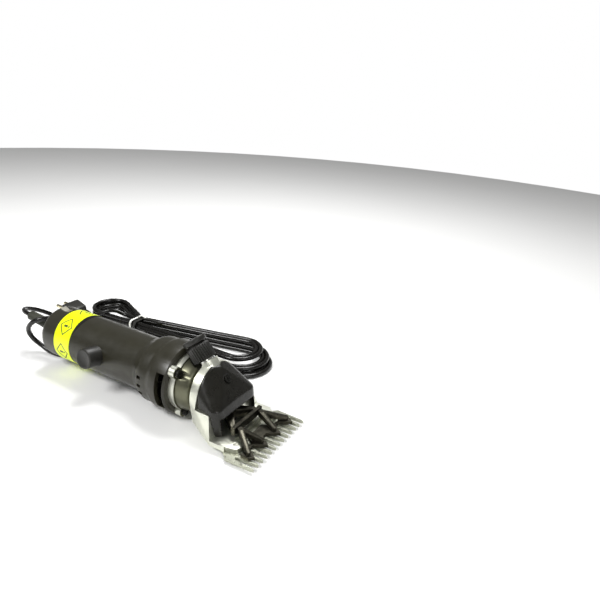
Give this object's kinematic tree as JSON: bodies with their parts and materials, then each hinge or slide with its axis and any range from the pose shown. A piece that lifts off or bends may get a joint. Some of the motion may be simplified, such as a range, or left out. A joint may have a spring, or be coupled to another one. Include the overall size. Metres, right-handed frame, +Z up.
{
  "type": "sheep shears",
  "caption": "Mains-powered sheep shears: barrel motor grip, offset gearbox, tension knob, swinging fork and cutter over a flat comb, with a folded cord and plug.",
  "frame": {"origin": "middle of the shears' length and width, on the surface that they rest on; the cord and what is on it are left out of that measure", "axes": "+X from the tail to the comb tips along the barrel, +Z up out of the comb's cutting face, +Y to the left"},
  "size_m": [0.3442, 0.1614, 0.0769],
  "materials": {
    "housing_plastic": "semi-gloss moulded plastic",
    "cover_plastic": "smooth moulded plastic",
    "knob_plastic": "satin moulded plastic",
    "cast_alloy": "satin cast and machined",
    "black_screw": "black zinc",
    "fork_steel": "dark forged steel, oiled",
    "cutter_steel": "dark ground steel",
    "comb_steel": "bright ground steel",
    "bright_steel": "machined",
    "gear_bronze": "cut gear",
    "lamination": "stacked laminations",
    "copper": "enamelled wire and copper bars",
    "carbon": "pressed carbon",
    "holder_brass": "pressed brass",
    "inner_plastic": "glass-filled plastic",
    "rocker_plastic": "smooth moulded plastic",
    "capacitor_case": "dipped case",
    "label_film": "yellow-green printed film",
    "plate_film": "silver film",
    "relief_rubber": "moulded rubber",
    "cord_sheath": "glossy flexible sheath",
    "tie_film": "paper-covered wire tie",
    "plug_plastic": "moulded plug",
    "plug_metal": "plated brass"
  },
  "bodies": {
    "body": {"rear_cover": "housing_plastic", "motor_housing": "housing_plastic", "collar": "housing_plastic", "head_cover": "cover_plastic", "brush_caps": "knob_plastic", "gearbox": "cast_alloy", "gear_plate": "cast_alloy", "head_casting": "cast_alloy", "flange_screws": "black_screw", "tail_screws": "black_screw", "cover_screw": "black_screw", "comb": "comb_steel", "comb_screws": "bright_steel", "fulcrum_post": "bright_steel", "crank_bearing_rear": "bright_steel", "crank_bearing_front": "bright_steel", "rotor_bearing_rear": "bright_steel", "rotor_bearing_front": "bright_steel", "brush_springs": "bright_steel", "stator_core": "lamination", "stator_coils": "copper", "brushes": "carbon", "brush_holders": "holder_brass", "bearing_bridge": "inner_plastic", "cord_clamp": "inner_plastic", "switch_body": "inner_plastic", "capacitor": "capacitor_case", "warning_label": "label_film", "rating_plate": "plate_film", "strain_relief": "relief_rubber", "cord_tail": "cord_sheath", "cord_hank": "cord_sheath", "cord_end": "cord_sheath", "cord_tie": "tie_film", "plug_body": "plug_plastic", "plug_pins": "plug_metal"},
    "rotor": {"rotor_shaft": "bright_steel", "rotor_stack": "lamination", "rotor_windings": "copper", "commutator": "copper", "fan": "inner_plastic"},
    "crank": {"crankshaft": "bright_steel", "drive_gear": "gear_bronze"},
    "roller": {"crank_roller": "bright_steel"},
    "fork": {"fork": "fork_steel", "foot_left": "fork_steel", "foot_right": "fork_steel", "foot_clip": "fork_steel", "cutter": "cutter_steel"},
    "tension_pin": {"tension_pin": "bright_steel"},
    "knob": {"tension_knob": "knob_plastic"},
    "rocker": {"switch_rocker": "rocker_plastic"}
  },
  "joints": [
    {"name": "rotor_spin", "type": "hinge", "parent": "body", "child": "rotor", "pos_m": [0, 0, 0.031], "axis": [1, 0, 0], "continuous": true},
    {"name": "crank_spin", "type": "hinge", "parent": "body", "child": "crank", "pos_m": [0.05175, 0, 0.0193], "axis": [1, 0, 0], "continuous": true},
    {"name": "roller_spin", "type": "hinge", "parent": "crank", "child": "roller", "pos_m": [0.06075, 0, 0.02167], "axis": [1, 0, 0], "continuous": true},
    {"name": "fork_swing", "type": "hinge", "parent": "body", "child": "fork", "pos_m": [0.07775, 0, 0.02], "axis": [0, 0, 1], "range_deg": [-8, 8]},
    {"name": "pin_slide", "type": "slide", "parent": "body", "child": "tension_pin", "axis": [-0.6428, 0, 0.766], "range_m": [0, 0.003]},
    {"name": "knob_turn", "type": "hinge", "parent": "tension_pin", "child": "knob", "pos_m": [0.04883, 0, 0.05897], "axis": [-0.6428, 0, 0.766], "range_deg": [0, 720]},
    {"name": "switch_rock", "type": "hinge", "parent": "body", "child": "rocker", "pos_m": [-0.11375, 0, 0.0516], "axis": [0, 1, 0], "range_deg": [-12, 0]}
  ],
  "couplings": [
    {"joint": "crank_spin", "follows": "rotor_spin", "ratio": -0.25806},
    {"joint": "knob_turn", "follows": "pin_slide", "rad_per_m": 4188.8}
  ]
}
